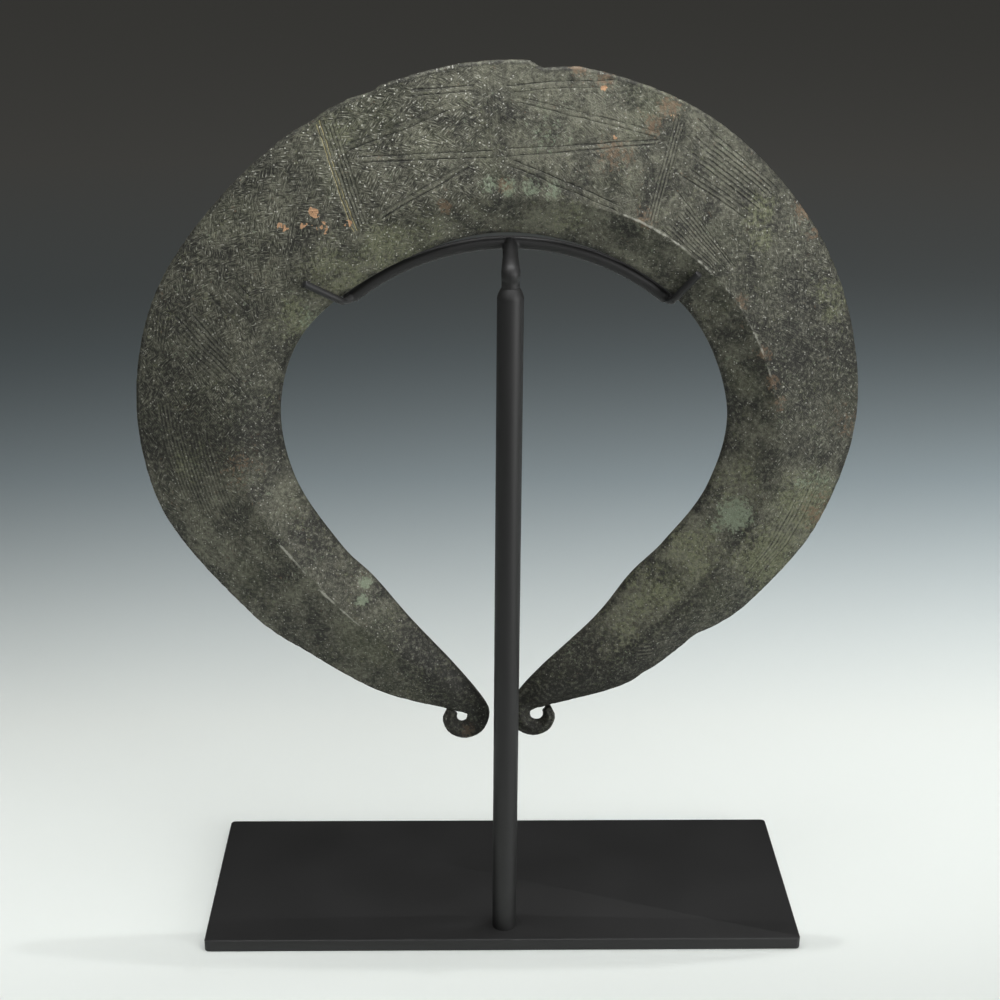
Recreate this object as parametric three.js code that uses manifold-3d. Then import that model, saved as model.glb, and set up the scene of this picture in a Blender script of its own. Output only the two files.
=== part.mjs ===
// A cast and engraved penannular neck ring of currency type, resting on its display stand.
// Millimetres, +Z up, +X to the viewer's right, +Y away from the viewer.
// The origin is the middle of the base plate's underside.

import * as THREE from "three";
import { ParametricGeometry } from "three/addons/geometries/ParametricGeometry.js";
import { mergeVertices } from "three/addons/utils/BufferGeometryUtils.js";
import Module from "manifold-3d";

// Base plate: flat bar with eased corners and edges.
const PLATE_WIDTH = 236;
const PLATE_DEPTH = 90;
const PLATE_THICKNESS = 5;
const PLATE_CORNER_RADIUS = 1.8;
const PLATE_EDGE_EASE = 0.5;

// Post: round bar with a rounded shoulder, standing near the plate's front edge.
const POST_DIAMETER = 9.5;
const POST_X = 0.5;
const POST_FROM_FRONT = 10.7;
const POST_TOP = 266;
const POST_SHOULDER = 3.6;

// Cradle: a neck that bends back from the post, an arched wire and two edge clips.
const NECK_DIAMETER = 6.5;
const NECK_TOP_DIAMETER = 5.6;
const NECK_BULGE_DIAMETER = 6.9;
const NECK_BEND_Z = 271.5;
const WIRE_DIAMETER = 4.7;
const WIRE_RADIUS = 88.5;
const WIRE_CENTRE_X = 0.5;
const WIRE_CENTRE_Z = 191;
const WIRE_HALF_ANGLE = 39;
const WIRE_BEHIND_RING = 2.8;
const CLIP_DIAMETER = 2.2;
const CLIP_ANGLES = [-50, 51];
const CLIP_CLEARANCE = 0.5;
const CLIP_BACK_REACH = 11;

// Ring: its place, and its section from the thin rim over the crest to the inner edge.
const RING_CENTRE_X = -3;
const RING_CENTRE_Z = 212;
const RING_BEHIND_POST = 8.5;
const RIM_HALF_THICKNESS = 1.25;
const EDGE_HALF_THICKNESS = 1.75;
const EDGE_ROUND = 1;
const BACK_SWELL = 2.6;
const BACK_FLAT = [0.7, 0.3];
const CREST_HEIGHT = 8.5;
const BAND_CROWN = 0.35;
const BAND_FACETS = [1 / 3, 2 / 3];

// Ring outline: clockwise angle from the top, radius of the rim, the crest and the inner edge,
// and the share of its full height at which the crest stands.
const RING_STATIONS = [
  { angle: -170, rim: 116, crest: 104.5, edge: 96.4, rise: 0.6 },
  { angle: -157, rim: 115.9, crest: 97.8, edge: 83.2, rise: 0.78 },
  { angle: -142, rim: 115.4, crest: 93.6, edge: 75, rise: 0.9 },
  { angle: -128, rim: 118.8, crest: 92.8, edge: 74.3, rise: 0.96 },
  { angle: -104, rim: 128, crest: 95.2, edge: 76.9, rise: 1 },
  { angle: -82, rim: 131.2, crest: 94.6, edge: 79.2, rise: 1 },
  { angle: -60, rim: 129.8, crest: 91.2, edge: 77.3, rise: 1 },
  { angle: -30, rim: 128.2, crest: 85.8, edge: 70.6, rise: 1 },
  { angle: 0, rim: 130.6, crest: 84, edge: 71.6, rise: 1 },
  { angle: 30, rim: 132.8, crest: 88.6, edge: 74, rise: 1 },
  { angle: 58, rim: 132.7, crest: 95.4, edge: 80.1, rise: 1 },
  { angle: 84, rim: 130.8, crest: 99.8, edge: 83, rise: 1 },
  { angle: 106, rim: 125.2, crest: 101, edge: 80.2, rise: 1 },
  { angle: 126, rim: 117.9, crest: 99.7, edge: 76.3, rise: 0.96 },
  { angle: 139, rim: 112.7, crest: 99.6, edge: 76.2, rise: 0.9 },
  { angle: 154, rim: 115, crest: 103.8, edge: 84.2, rise: 0.78 },
  { angle: 170, rim: 114.8, crest: 109.4, edge: 97.9, rise: 0.6 },
];

// Terminals: each limb's tip is drawn out and rolled outwards into a small eyelet.
// The roll's outside shrinks from its start above the eye to its end under the limb.
const CURLS = [
  { side: -1, eyeX: -16.4, eyeZ: 94.1, eyeRadius: 1.9, rollStart: 11.7, rollEnd: 6.8 },
  { side: 1, eyeX: 12.5, eyeZ: 95.2, eyeRadius: 2.4, rollStart: 12, rollEnd: 6.4 },
];
const CURL_ANGLES = [40, 80, 125, 170, 215, 255, 294];
const CURL_CREST_HEIGHT = 2.7;
const CURL_TIP_ROUND = 0.6;

// Engraved lines: V-cut grooves that run out at both ends. Ends are angle and radius on the ring.
const GROOVE_WIDTH = 1;
const GROOVE_DEPTH = 0.5;
const GROOVE_STEP = 10;
const GROOVE_RUNOUT = 2;
const PAIR_SPACING = 2.7;
const BAND_SPACING = 1.9;
const BAND_LINES = 4;
const RADIAL_BANDS = [
  { from: [-28.7, 125], to: [-33.4, 88.5] },
  { from: [27.9, 127], to: [34.8, 92.5] },
];
const PANEL_PAIRS = [
  { from: [-15.2, 123.7], to: [-3.4, 121.6] },
  { from: [-27, 113.6], to: [-9, 117.6] },
  { from: [-27.6, 107], to: [-1.5, 98.4] },
  { from: [-29.4, 89], to: [-7.2, 95.6] },
  { from: [-0.3, 121.6], to: [17.4, 129] },
  { from: [0, 116.6], to: [26.8, 119.8] },
  { from: [0.4, 100], to: [27.2, 114.2] },
  { from: [1.9, 95.4], to: [32.6, 92.6] },
];
const FLANK_LINES = 5;
const FLANK_SETS = [
  { from: [36, 117.5], to: [52, 114.6], startSpacing: 3.2, endSpacing: 2.6 },
  { from: [39.4, 99.4], to: [55, 101], startSpacing: 3.2, endSpacing: 2 },
];

// Facets along the ring, and round the wires and bars.
const STEPS_PER_STATION = 5;
const WIRE_SIDES = 12;
const WIRE_STEPS = 28;
const WIRE_POINTS = 9;
const CLIP_STEPS = 20;
const BAR_SIDES = 20;
const SHOULDER_STEPS = 5;
const PLATE_CORNER_STEPS = 4;
const PLATE_EASE_STEPS = 2;

const FINISHES = {
  patina: { color: 0x4b4c43, roughness: 0.62, metalness: 0.55 },
  blackPaint: { color: 0x1d1d1e, roughness: 0.5, metalness: 0 },
};

const postY = -PLATE_DEPTH / 2 + POST_FROM_FRONT;
const ringY = postY + RING_BEHIND_POST;
const wireY = ringY + WIRE_BEHIND_RING;
const FORWARD = new THREE.Vector3(0, -1, 0);
const UP = new THREE.Vector3(0, 1, 0);

const wasm = await Module();
wasm.setup();

// Solids

function toSolid(geometry) {
  const bare = geometry.clone();
  bare.deleteAttribute("normal");
  bare.deleteAttribute("uv");
  const merged = mergeVertices(bare);
  const corners = merged.index.array;
  const triVerts = [];
  for (let i = 0; i < corners.length; i += 3) {
    const [a, b, c] = corners.subarray(i, i + 3);
    if (a !== b && b !== c && c !== a) {
      triVerts.push(a, b, c);
    }
  }
  const mesh = new wasm.Mesh({
    numProp: 3,
    vertProperties: new Float32Array(merged.attributes.position.array),
    triVerts: new Uint32Array(triVerts),
  });
  return new wasm.Manifold(mesh);
}

function toGeometry(solid) {
  const mesh = solid.getMesh();
  const geometry = new THREE.BufferGeometry();
  geometry.setAttribute("position", new THREE.BufferAttribute(mesh.vertProperties, 3));
  geometry.setIndex(new THREE.BufferAttribute(mesh.triVerts, 1));
  geometry.computeVertexNormals();
  return geometry;
}

function joined(geometries) {
  return geometries.map(toSolid).reduce((whole, solid) => whole.add(solid));
}

// Skin over a row of closed sections; the first and the last section are a single point each.
function loft(sections) {
  const around = sections[0].length;
  const along = sections.length - 1;
  const place = (u, v, target) => {
    const section = sections[Math.round(v * along)];
    target.copy(section[(around - Math.round(u * around)) % around]);
  };
  return new ParametricGeometry(place, around, along);
}

function wireAlong(path, diameter, steps) {
  const round = new THREE.Shape();
  round.absarc(0, 0, diameter / 2, 0, 2 * Math.PI);
  return new THREE.ExtrudeGeometry(round, { steps, extrudePath: path, curveSegments: WIRE_SIDES / 2 });
}

function barBetween(from, to, fromDiameter, toDiameter) {
  const axis = to.clone().sub(from);
  const bar = new THREE.CylinderGeometry(toDiameter / 2, fromDiameter / 2, axis.length(), BAR_SIDES);
  bar.applyQuaternion(new THREE.Quaternion().setFromUnitVectors(UP, axis.clone().normalize()));
  const middle = from.clone().lerp(to, 0.5);
  return bar.translate(middle.x, middle.y, middle.z);
}

// Ring

function polar(centreX, centreZ, angle, radius, y) {
  const turn = THREE.MathUtils.degToRad(angle);
  return new THREE.Vector3(centreX + radius * Math.sin(turn), y, centreZ + radius * Math.cos(turn));
}

function ringPoint([angle, radius], y = ringY) {
  return polar(RING_CENTRE_X, RING_CENTRE_Z, angle, radius, y);
}

function ringStation({ angle, rim, crest, edge, rise }) {
  return {
    rim: ringPoint([angle, rim]),
    crest: ringPoint([angle, crest], ringY - CREST_HEIGHT * rise),
    edge: ringPoint([angle, edge]),
  };
}

// Along a rolled tip the limb's rim becomes the eye, and its inner edge the outside of the roll.
function curlStations({ side, eyeX, eyeZ, eyeRadius, rollStart, rollEnd }) {
  return CURL_ANGLES.map((angle, i) => {
    const roll = THREE.MathUtils.lerp(rollStart, rollEnd, i / (CURL_ANGLES.length - 1));
    const at = (radius, y) => polar(eyeX, eyeZ, -side * angle, radius, y);
    return {
      rim: at(eyeRadius, ringY),
      crest: at((eyeRadius + roll) / 2, ringY - CURL_CREST_HEIGHT),
      edge: at(roll, ringY),
    };
  });
}

const [leftCurl, rightCurl] = CURLS.map(curlStations);
const stations = [...leftCurl.reverse(), ...RING_STATIONS.map(ringStation), ...rightCurl];
const spans = stations.length - 1;
const [rimRail, crestRail, edgeRail] = ["rim", "crest", "edge"].map((name) => {
  const points = stations.map((station) => station[name]);
  return new THREE.CatmullRomCurve3(points, false, "catmullrom");
});

function railsAt(span) {
  const t = span / spans;
  return { rim: rimRail.getPoint(t), crest: crestRail.getPoint(t), edge: edgeRail.getPoint(t) };
}

// Front of the engraved band, share 0 at the crest and 1 at the rim: a slightly crowned slope.
function bandPoint({ rim, crest }, share) {
  const rimFront = rim.clone().addScaledVector(FORWARD, RIM_HALF_THICKNESS);
  const crown = BAND_CROWN * (1 - (2 * share - 1) ** 2);
  return crest.clone().lerp(rimFront, share).addScaledVector(FORWARD, crown);
}

function ringSection(span) {
  const { rim, crest, edge } = railsAt(span);
  const outward = rim.clone().sub(edge).normalize();
  const beside = (point, out, forward) => {
    return point.clone().addScaledVector(outward, out).addScaledVector(FORWARD, forward);
  };
  const back = (share) => edge.clone().lerp(rim, share).addScaledVector(FORWARD, -BACK_SWELL);
  const edgeFront = beside(edge, EDGE_ROUND, EDGE_HALF_THICKNESS);
  return [
    edge,
    edgeFront,
    edgeFront.clone().lerp(crest, 0.5),
    crest,
    ...BAND_FACETS.map((share) => bandPoint({ rim, crest }, share)),
    beside(rim, -EDGE_ROUND, RIM_HALF_THICKNESS),
    rim,
    beside(rim, -EDGE_ROUND, -RIM_HALF_THICKNESS),
    ...BACK_FLAT.map(back),
    beside(edge, EDGE_ROUND, -EDGE_HALF_THICKNESS),
  ];
}

function middleOf(section) {
  const sum = section.reduce((total, point) => total.add(point), new THREE.Vector3());
  return sum.divideScalar(section.length);
}

// A blunt tip: the end section closes in a point that stands a little proud of it.
function tipBeyond(end, before) {
  const middle = middleOf(end);
  const onward = middle.clone().sub(middleOf(before)).normalize();
  const point = middle.addScaledVector(onward, CURL_TIP_ROUND);
  return end.map(() => point);
}

function ringBody() {
  const count = spans * STEPS_PER_STATION;
  const sections = Array.from({ length: count + 1 }, (_, i) => ringSection(i / STEPS_PER_STATION));
  const firstTip = tipBeyond(sections[0], sections[1]);
  const lastTip = tipBeyond(sections[count], sections[count - 1]);
  return toSolid(loft([firstTip, ...sections, lastTip]));
}

// Rails where the ring is cut by a ray from its centre at this angle.
function railsAtAngle(angle) {
  const next = RING_STATIONS.findIndex((station) => station.angle > angle);
  const from = RING_STATIONS[next - 1].angle;
  const share = (angle - from) / (RING_STATIONS[next].angle - from);
  return railsAt(CURL_ANGLES.length + next - 1 + share);
}

// The point of the band's front straight in front of a point of the ring's middle plane.
function onBand(point) {
  const fromCentre = (p) => Math.hypot(p.x - RING_CENTRE_X, p.z - RING_CENTRE_Z);
  const angle = Math.atan2(point.x - RING_CENTRE_X, point.z - RING_CENTRE_Z);
  const rail = railsAtAngle(THREE.MathUtils.radToDeg(angle));
  const crestRadius = fromCentre(rail.crest);
  const share = (fromCentre(point) - crestRadius) / (fromCentre(rail.rim) - crestRadius);
  return new THREE.Vector3(point.x, bandPoint(rail, share).y, point.z);
}

// Cutter of one engraved line: its section is a V that is twice the groove's size, point inwards.
function grooveCutter(from, to) {
  const sideways = to.clone().sub(from).cross(FORWARD).normalize();
  const runout = GROOVE_RUNOUT / from.distanceTo(to);
  const count = Math.ceil(from.distanceTo(to) / GROOVE_STEP);
  const full = Array.from({ length: count + 1 }, (_, i) => {
    return THREE.MathUtils.lerp(runout, 1 - runout, i / count);
  });
  const sections = [0, ...full, 1].map((share) => {
    const point = onBand(from.clone().lerp(to, share));
    const reach = share === 0 || share === 1 ? 0 : 1;
    const corner = (across, forward) => {
      return point.clone().addScaledVector(sideways, across).addScaledVector(FORWARD, forward);
    };
    return [
      corner(-GROOVE_WIDTH * reach, GROOVE_DEPTH),
      corner(0, GROOVE_DEPTH * (1 - 2 * reach)),
      corner(GROOVE_WIDTH * reach, GROOVE_DEPTH),
    ];
  });
  return toSolid(loft(sections));
}

// Lines side by side, spread about the line between the two ends.
function grooveSet({ from, to, count, startSpacing, endSpacing = startSpacing }) {
  const start = ringPoint(from);
  const end = ringPoint(to);
  const sideways = end.clone().sub(start).cross(FORWARD).normalize();
  return Array.from({ length: count }, (_, i) => {
    const place = i - (count - 1) / 2;
    return grooveCutter(
      start.clone().addScaledVector(sideways, place * startSpacing),
      end.clone().addScaledVector(sideways, place * endSpacing),
    );
  });
}

function buildTorc() {
  const grooves = [
    ...RADIAL_BANDS.map((ends) => ({ ...ends, count: BAND_LINES, startSpacing: BAND_SPACING })),
    ...PANEL_PAIRS.map((ends) => ({ ...ends, count: 2, startSpacing: PAIR_SPACING })),
    ...FLANK_SETS.map((set) => ({ ...set, count: FLANK_LINES })),
  ].flatMap(grooveSet);
  return toGeometry(ringBody().subtract(grooves.reduce((all, groove) => all.add(groove))));
}

// Stand

function buildBasePlate() {
  const halfWidth = PLATE_WIDTH / 2;
  const halfDepth = PLATE_DEPTH / 2;
  const radius = PLATE_CORNER_RADIUS;
  const outline = new THREE.Shape();
  outline.absarc(halfWidth - radius, halfDepth - radius, radius, 0, Math.PI / 2);
  outline.absarc(radius - halfWidth, halfDepth - radius, radius, Math.PI / 2, Math.PI);
  outline.absarc(radius - halfWidth, radius - halfDepth, radius, Math.PI, 1.5 * Math.PI);
  outline.absarc(halfWidth - radius, radius - halfDepth, radius, 1.5 * Math.PI, 2 * Math.PI);
  const plate = new THREE.ExtrudeGeometry(outline, {
    depth: PLATE_THICKNESS - 2 * PLATE_EDGE_EASE,
    bevelThickness: PLATE_EDGE_EASE,
    bevelSize: PLATE_EDGE_EASE,
    bevelOffset: -PLATE_EDGE_EASE,
    bevelSegments: PLATE_EASE_STEPS,
    curveSegments: PLATE_CORNER_STEPS,
  });
  return toGeometry(toSolid(plate.translate(0, 0, PLATE_EDGE_EASE)));
}

function buildPost() {
  const radius = POST_DIAMETER / 2;
  const step = radius - NECK_DIAMETER / 2;
  const height = POST_TOP - PLATE_THICKNESS;
  const profile = [new THREE.Vector2(0, 0), new THREE.Vector2(radius, 0)];
  for (let i = 0; i <= SHOULDER_STEPS; i += 1) {
    const turn = (Math.PI / 2) * (i / SHOULDER_STEPS);
    const rise = POST_SHOULDER * (Math.sin(turn) - 1);
    profile.push(new THREE.Vector2(radius - step * (1 - Math.cos(turn)), height + rise));
  }
  profile.push(new THREE.Vector2(0, height));
  const post = new THREE.LatheGeometry(profile, BAR_SIDES);
  return toGeometry(toSolid(post.rotateX(Math.PI / 2)));
}

function wirePoint(angle) {
  return polar(WIRE_CENTRE_X, WIRE_CENTRE_Z, angle, WIRE_RADIUS, wireY);
}

function wireArch() {
  const points = Array.from({ length: WIRE_POINTS }, (_, i) => {
    const share = i / (WIRE_POINTS - 1);
    return wirePoint(THREE.MathUtils.lerp(-WIRE_HALF_ANGLE, WIRE_HALF_ANGLE, share));
  });
  return wireAlong(new THREE.CatmullRomCurve3(points), WIRE_DIAMETER, WIRE_STEPS);
}

// A clip hooks round the ring's inner edge: up its front bevel to the crest and a way up its back.
function edgeClip(angle, wireEnd) {
  const { crest, edge } = railsAtAngle(angle);
  const outward = crest.clone().sub(edge).setY(0).normalize();
  const at = (out, y) => edge.clone().addScaledVector(outward, out).setY(y);
  const stand = CLIP_DIAMETER / 2 + CLIP_CLEARANCE;
  const bevelFoot = at(EDGE_ROUND, ringY - EDGE_HALF_THICKNESS);
  const clear = crest.clone().sub(bevelFoot).normalize();
  const lift = FORWARD.clone().addScaledVector(clear, -FORWARD.dot(clear)).setLength(stand);
  const backY = ringY + BACK_SWELL + stand;
  const path = new THREE.CatmullRomCurve3([
    crest.clone().add(lift),
    bevelFoot.clone().lerp(crest, 0.5).add(lift),
    bevelFoot.clone().add(lift),
    at(-stand, ringY - EDGE_HALF_THICKNESS / 2),
    wireEnd,
    at(EDGE_ROUND + stand, backY),
    at(CLIP_BACK_REACH, backY),
  ]);
  return wireAlong(path, CLIP_DIAMETER, CLIP_STEPS);
}

function buildCradle() {
  const foot = new THREE.Vector3(POST_X, postY, POST_TOP);
  const bend = new THREE.Vector3(POST_X, postY, NECK_BEND_Z);
  const top = wirePoint(0);
  const bulge = new THREE.SphereGeometry(NECK_BULGE_DIAMETER / 2, BAR_SIDES, BAR_SIDES / 2);
  const ends = [wirePoint(-WIRE_HALF_ANGLE), wirePoint(WIRE_HALF_ANGLE)];
  return toGeometry(joined([
    barBetween(foot, bend, NECK_DIAMETER, NECK_DIAMETER),
    bulge.translate(bend.x, bend.y, bend.z),
    barBetween(bend, top, NECK_DIAMETER, NECK_TOP_DIAMETER),
    wireArch(),
    ...CLIP_ANGLES.map((angle, i) => edgeClip(angle, ends[i])),
  ]));
}

function piece(name, geometry, finish) {
  const mesh = new THREE.Mesh(geometry, new THREE.MeshStandardMaterial(finish));
  mesh.name = name;
  return mesh;
}

const post = piece("post", buildPost(), FINISHES.blackPaint);
post.position.set(POST_X, postY, PLATE_THICKNESS);

const object = new THREE.Group();
object.add(
  piece("base_plate", buildBasePlate(), FINISHES.blackPaint),
  post,
  piece("cradle", buildCradle(), FINISHES.blackPaint),
  piece("torc", buildTorc(), FINISHES.patina),
);

export default object;
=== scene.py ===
"""Dresses a currency torc and its display stand for a studio picture.

The classes hold their sizes in millimetres, in the part's own frame. Meshes are made in metres.
"""

import logging
import math
from collections.abc import Callable
from dataclasses import dataclass, field
from enum import Enum

import bmesh
import bpy
import numpy as np
from bpy.types import Material, Node, NodeSocket, Object
from mathutils import Matrix, Vector, noise

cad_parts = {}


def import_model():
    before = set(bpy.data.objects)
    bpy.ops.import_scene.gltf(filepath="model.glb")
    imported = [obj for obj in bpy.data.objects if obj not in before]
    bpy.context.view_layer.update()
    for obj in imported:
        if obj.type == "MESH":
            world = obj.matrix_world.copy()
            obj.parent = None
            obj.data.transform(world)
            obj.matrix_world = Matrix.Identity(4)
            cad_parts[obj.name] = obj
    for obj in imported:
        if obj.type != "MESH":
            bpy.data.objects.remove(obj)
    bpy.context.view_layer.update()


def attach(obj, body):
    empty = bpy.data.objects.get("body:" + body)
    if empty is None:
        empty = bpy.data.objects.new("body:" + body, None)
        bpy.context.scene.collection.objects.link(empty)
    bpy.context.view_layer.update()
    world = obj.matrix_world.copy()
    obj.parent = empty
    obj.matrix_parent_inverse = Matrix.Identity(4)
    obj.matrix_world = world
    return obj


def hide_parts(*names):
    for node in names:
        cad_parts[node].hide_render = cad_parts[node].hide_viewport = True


LOG = logging.getLogger("currency_torc")
MM = 0.001
FORWARD = np.array((0.0, -1.0, 0.0))
SMOOTH_ANGLE = math.radians(40)
ROD_FACETS = 6
UPRIGHT = 0.9
NOISE_FADE, NOISE_STEP = 0.9, 2.1
MIX_FACTOR, MIX_A, MIX_B, MIX_RESULT = 0, 6, 7, 2

Place = tuple[float, float, float]
Inputs = dict[str | int, object]
AngleTable = tuple[tuple[float, float], ...]


class Slot(Enum):
    """The record's material slots."""

    BRONZE = "patinated_bronze"
    PAINT = "black_paint"


class Face(Enum):
    """The parts of the ring's section, in their order round it."""

    EDGE = "rounded inner edge"
    BEVEL = "bevel from the inner edge up to the crest"
    BAND = "engraved band from the crest out to the rim"
    RIM = "rounded rim"
    BACK = "plain back"


class Mark(Enum):
    """What the finish reads at each point of the ring, in the order in which it is stored."""

    VERDIGRIS = 0
    RUST = 1
    COPPER = 2
    STRAW = 3
    # Darker patina, partly painted shade where the light on the ring falls off.
    SOOT = 4
    # Pale wear along the crest, partly a painted highlight.
    WORN = 5
    WOVEN = 6
    # Painted glints: bright specks and dashes of light.
    GLINT = 7


def linear(colour: int) -> tuple[float, float, float, float]:
    """Turn an sRGB colour to linear light.

    Args:
        colour: The colour as a hex number.

    Returns:
        Linear red, green, blue and an alpha of one.
    """
    shares = [(colour >> shift & 255) / 255 for shift in (16, 8, 0)]
    red, green, blue = (s / 12.92 if s <= 0.04045 else ((s + 0.055) / 1.055) ** 2.4 for s in shares)
    return red, green, blue, 1.0


def per_metre(size: float) -> float:
    """Texture scale at which a pattern's features are this many millimetres apart."""
    return 1 / (size * MM)


@dataclass
class Mixture:
    """A new material while its nodes are put together.

    Attributes:
        name: The material's name.
        made: The material.
        coords: Object coordinates.
    """

    name: str
    made: Material = field(init=False)
    coords: NodeSocket = field(init=False)

    def __post_init__(self) -> None:
        """Start from a plain shader."""
        self.made = bpy.data.materials.new(self.name)
        self.made.use_nodes = True
        self.coords = self.add("TexCoord", output="Object")

    def add(
        self, kind: str, inputs: Inputs | None = None, output: str | int = 0, **settings: object
    ) -> NodeSocket:
        """Add a node with its settings, values and links.

        Args:
            kind: The node's type, without the prefix that all have.
            inputs: Sockets to link, or values to set, by the input's name or number.
            output: The output that is wanted.
            settings: The node's own properties.

        Returns:
            The output's socket.
        """
        node = self.made.node_tree.nodes.new(f"ShaderNode{kind}")
        for name, value in settings.items():
            setattr(node, name, value)
        self.fill(node, inputs or {})
        return node.outputs[output]

    def fill(self, node: Node, inputs: Inputs) -> None:
        """Link or set a node's inputs.

        Args:
            node: The node.
            inputs: Sockets to link, or values to set, by the input's name or number.
        """
        for name, value in inputs.items():
            if isinstance(value, NodeSocket):
                self.made.node_tree.links.new(value, node.inputs[name])
            else:
                node.inputs[name].default_value = value

    def glaze(
        self, under: object, over: int, mask: NodeSocket, low: float, high: float, most: float = 1.0
    ) -> NodeSocket:
        """Lay a colour over another where a mask is high.

        Args:
            under: The colour below, linear or as a socket.
            over: The colour above, as a hex number.
            mask: What says where it lies.
            low: The mask's value at which it is clear.
            high: The mask's value at which it is at its most.
            most: How much it covers there.

        Returns:
            The mixed colour.
        """
        share = self.add(
            "MapRange", {"Value": mask, "From Min": low, "From Max": high, "To Max": most}
        )
        inputs = {MIX_FACTOR: share, MIX_A: under, MIX_B: linear(over)}
        return self.add("Mix", inputs, MIX_RESULT, data_type="RGBA")

    def shade(self, inputs: Inputs) -> Material:
        """Join everything to the shader, which finishes the material."""
        self.fill(self.made.node_tree.nodes["Principled BSDF"], inputs)
        return self.made


def smooth_step(low: float, high: float, value: np.ndarray) -> np.ndarray:
    """Ease from 0 at low to 1 at high."""
    share = np.clip((value - low) / (high - low), 0, 1)
    return share * share * (3 - 2 * share)


def read_off(table: AngleTable, angle: np.ndarray) -> np.ndarray:
    """Values at these angles, on straight lines between the table's rows."""
    return np.interp(angle, *zip(*table))


def catmull_rom(points: np.ndarray, spans: np.ndarray) -> np.ndarray:
    """Follow a smooth curve through a row of points.

    Args:
        points: The points, one to a row.
        spans: Where to read it: 0 at the first point, 1 at the second, and so on.

    Returns:
        One point for each reading.
    """
    padded = np.vstack((2 * points[0] - points[1], points, 2 * points[-1] - points[-2]))
    first = np.minimum(spans.astype(int), len(points) - 2)
    t = (spans - first)[:, None]
    before, start, end, after = (padded[first + i] for i in range(4))
    lead, trail = (end - before) / 2, (after - start) / 2
    return (
        (2 * t**3 - 3 * t**2 + 1) * start
        + (t**3 - 2 * t**2 + t) * lead
        + (3 * t**2 - 2 * t**3) * end
        + (t**3 - t**2) * trail
    )


def polar(centre: Place, angle: float, radius: float, y: float) -> np.ndarray:
    """Point on a circle in an upright plane.

    Args:
        centre: The circle's centre; its own y isn't used.
        angle: Degrees clockwise from the top, as seen from in front.
        radius: Distance from the centre.
        y: Depth of the point.

    Returns:
        The point.
    """
    turn = math.radians(angle)
    return np.array((centre[0] + radius * math.sin(turn), y, centre[2] + radius * math.cos(turn)))


def rough(points: np.ndarray, size: float, octaves: int) -> np.ndarray:
    """Uneven height over a cloud of points, about -1 to 1.

    Args:
        points: The points in millimetres.
        size: How far apart its bumps are, in millimetres.
        octaves: How many finer layers it has.

    Returns:
        One height for each point.
    """
    flat = points.reshape(-1, 3) / size
    heights = [noise.fractal(Vector(p), NOISE_FADE, NOISE_STEP, octaves) for p in flat]
    return np.array(heights).reshape(points.shape[:-1])


def clear_selection() -> None:
    """Deselect everything before a new primitive is added."""
    bpy.ops.object.select_all(action="DESELECT")


def start_editing() -> Object:
    """Fix the place of the primitive just added, and open it for editing.

    Returns:
        The primitive's object.
    """
    bpy.ops.object.transform_apply(location=True, rotation=True, scale=True)
    bpy.ops.object.mode_set(mode="EDIT")
    return bpy.context.object


def select_edges(piece: Object, wanted: Callable[[Vector, Vector], bool]) -> None:
    """Select edges by their place, in edit mode.

    Args:
        piece: The object that is being edited.
        wanted: Says from an edge's two ends whether it is selected.
    """
    bpy.ops.mesh.select_mode(type="EDGE")
    bpy.ops.mesh.select_all(action="DESELECT")
    mesh = bmesh.from_edit_mesh(piece.data)
    for edge in mesh.edges:
        edge.select_set(wanted(*(corner.co for corner in edge.verts)))
    mesh.select_flush_mode()
    bmesh.update_edit_mesh(piece.data)


def rod(name: str, points: np.ndarray, diameters: np.ndarray) -> Object:
    """Bend a round rod along a path.

    Args:
        name: The new object's name.
        points: The path in millimetres.
        diameters: The rod's diameter at each point.

    Returns:
        The rod as a closed mesh.
    """
    clear_selection()
    bpy.ops.curve.primitive_bezier_curve_add()
    piece = bpy.context.object
    piece.name = name
    curve = piece.data
    curve.splines.clear()
    spline = curve.splines.new("POLY")
    spline.points.add(len(points) - 1)
    for point, place, diameter in zip(spline.points, points, diameters):
        point.co = (*(place * MM), 1)
        point.radius = diameter / diameters[0]
    curve.dimensions = "3D"
    curve.bevel_depth = diameters[0] / 2 * MM
    curve.bevel_resolution = ROD_FACETS
    curve.use_fill_caps = True
    bpy.ops.object.convert(target="MESH")
    return bpy.context.object


def apply_modifier(piece: Object, kind: str, **settings: object) -> None:
    """Add a modifier and apply it.

    Args:
        piece: The object, which is made the active one.
        kind: The modifier's type.
        settings: The modifier's own properties.
    """
    bpy.context.view_layer.objects.active = piece
    modifier = piece.modifiers.new(kind.lower(), kind)
    for name, value in settings.items():
        setattr(modifier, name, value)
    bpy.ops.object.modifier_apply(modifier=modifier.name)


def settle(piece: Object, name: str, node: str, finish: Material) -> None:
    """Dress a finished piece and put it in its solid's place.

    Args:
        piece: The finished mesh.
        name: The piece's own name.
        node: The solid that it stands for.
        finish: Its material.
    """
    piece.name = name
    piece.data.name = name
    piece.data.materials.clear()
    piece.data.materials.append(finish)
    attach(piece, "root")
    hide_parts(node)
    LOG.info("%s: %d faces", name, len(piece.data.polygons))


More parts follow.
